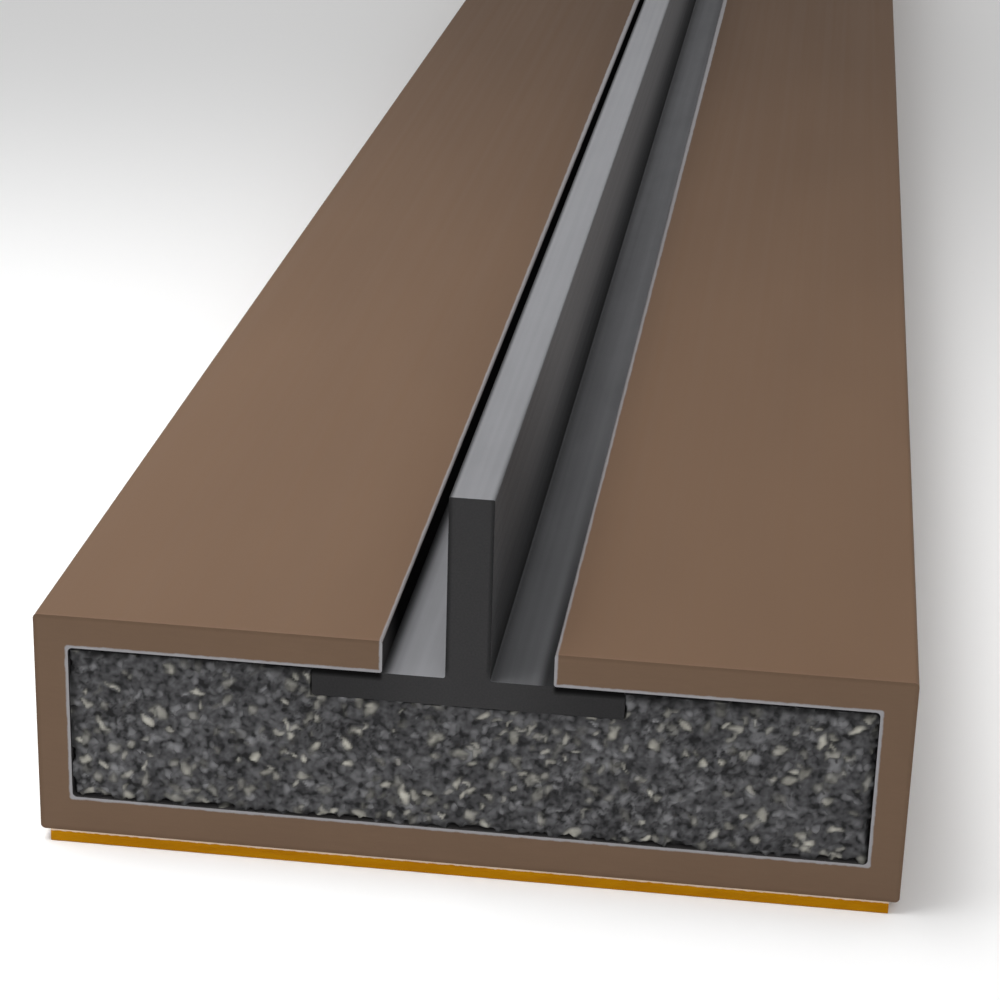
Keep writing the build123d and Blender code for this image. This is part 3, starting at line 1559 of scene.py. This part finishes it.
@dataclass(frozen=True)
class SoftLight:
    """A square area light that is aimed at a point."""

    name: str
    position: Triple
    aim: Triple
    side: float
    power: float
    spread: float = 180.0

    def build(self) -> bpy.types.Object:
        """The light, linked to the scene."""
        lamp = bpy.data.lights.new(self.name, "AREA")
        lamp.size = self.side * MM
        lamp.energy = self.power
        lamp.spread = math.radians(self.spread)
        made = bpy.data.objects.new(self.name, lamp)
        made.location = Vector(self.position) * MM
        direction = Vector(self.aim) - Vector(self.position)
        made.rotation_euler = direction.to_track_quat("-Z", "Y").to_euler()
        made.visible_camera = False
        bpy.context.scene.collection.objects.link(made)
        return made


@dataclass
class Studio:
    """The floor, the light and the camera, which is where the photo was taken from."""

    floor_drop: float = 0.01
    floor_radius: float = 4000.0
    first_radius: float = 20.0
    floor_rings: int = 9
    floor_sides: int = 48
    sky: Colour = (1.0, 1.0, 1.0)
    sky_light: float = 0.485
    lights: tuple[SoftLight, ...] = (
        SoftLight(
            name="key_light",
            position=(-23.3, -73.2, 67.0),
            aim=(-15.5, -69.5, 4.0),
            side=44.0,
            power=0.0089,
            spread=74.0,
        ),
        SoftLight(
            name="front_light",
            position=(20.0, -170.0, 70.0),
            aim=(0.0, -75.0, 4.0),
            side=60.0,
            power=0.040,
        ),
        SoftLight(
            name="far_light",
            position=(-60.0, 130.0, 130.0),
            aim=(0.0, 90.0, 4.0),
            side=80.0,
            power=0.063,
        ),
    )
    camera_position: Triple = (5.083, -114.926, 23.075)
    camera_turn: float = 6.6198
    camera_tilt: float = -21.8918
    camera_roll: float = 1.7041
    focal_length: float = 97.32
    sensor_width: float = 36.0
    clip: Span = (1.0, 10000.0)

    def build(self) -> list[bpy.types.Object]:
        """Sets up the studio and gives its objects."""
        self.light_world()
        self.set_view()
        lamps = [light.build() for light in self.lights]
        return [self.build_floor(), self.build_camera(), *lamps]

    def build_floor(self) -> bpy.types.Object:
        """A round floor under the part, as rings of faces that widen outwards."""
        mesh = bpy.data.meshes.new("studio_floor")
        height = -self.floor_drop * MM
        angles = np.linspace(0, 2 * math.pi, self.floor_sides, endpoint=False)
        points = [(0.0, 0.0, height)]
        for radius in np.geomspace(self.first_radius, self.floor_radius, self.floor_rings) * MM:
            points += [(radius * math.cos(angle), radius * math.sin(angle), height) for angle in angles]
        sides = [(n, (n + 1) % self.floor_sides) for n in range(self.floor_sides)]
        faces: list[tuple[int, ...]] = [(0, 1 + n, 1 + after) for n, after in sides]
        for ring in range(self.floor_rings - 1):
            inner = 1 + ring * self.floor_sides
            outer = inner + self.floor_sides
            faces += [(inner + n, outer + n, outer + after, inner + after) for n, after in sides]
        mesh.from_pydata(points, [], faces)
        mesh.materials.append(PaleFloor("pale_floor").material())
        made = bpy.data.objects.new("studio_floor", mesh)
        bpy.context.scene.collection.objects.link(made)
        return made

    def light_world(self) -> None:
        """Gives the scene an even pale sky."""
        world = bpy.data.worlds.new("studio_air")
        bpy.context.scene.world = world
        world.use_nodes = True
        graph = Graph(world.node_tree)
        light = {"Color": self.sky, "Strength": self.sky_light}
        sky = graph.node("ShaderNodeBackground", inputs=light)
        graph.node("ShaderNodeOutputWorld", inputs={"Surface": sky})

    def set_view(self) -> None:
        """Shows the colours as they are lit, with no film curve."""
        bpy.context.scene.view_settings.view_transform = "Standard"

    def build_camera(self) -> bpy.types.Object:
        """The camera, which looks along +Y and is turned, tilted and rolled from there."""
        lens = bpy.data.cameras.new("photo_camera")
        lens.lens = self.focal_length
        lens.sensor_width = self.sensor_width
        lens.clip_start, lens.clip_end = (distance * MM for distance in self.clip)
        made = bpy.data.objects.new("photo_camera", lens)
        turn = Matrix.Rotation(math.radians(self.camera_turn), 4, "Z")
        tilt = Matrix.Rotation(math.radians(90 + self.camera_tilt), 4, "X")
        roll = Matrix.Rotation(math.radians(self.camera_roll), 4, "Z")
        made.matrix_world = Matrix.Translation(Vector(self.camera_position) * MM) @ turn @ tilt @ roll
        bpy.context.scene.collection.objects.link(made)
        bpy.context.scene.camera = made
        return made


def main() -> None:
    """Dresses the part piece by piece and sets up the studio."""
    logging.basicConfig(level=logging.INFO, format="%(message)s")
    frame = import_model()
    pieces = [
        Casing().build(frame),
        IntumescentCore().build(),
        SmokeFin().build(frame),
        AdhesiveTape().build(frame),
    ]
    for piece in pieces:
        LOG.info("%s: %d faces in %s", piece.name, len(piece.data.polygons), piece.active_material.name)
    for thing in Studio().build():
        LOG.info("studio: %s", thing.name)


if __name__ == "__main__":
    main()
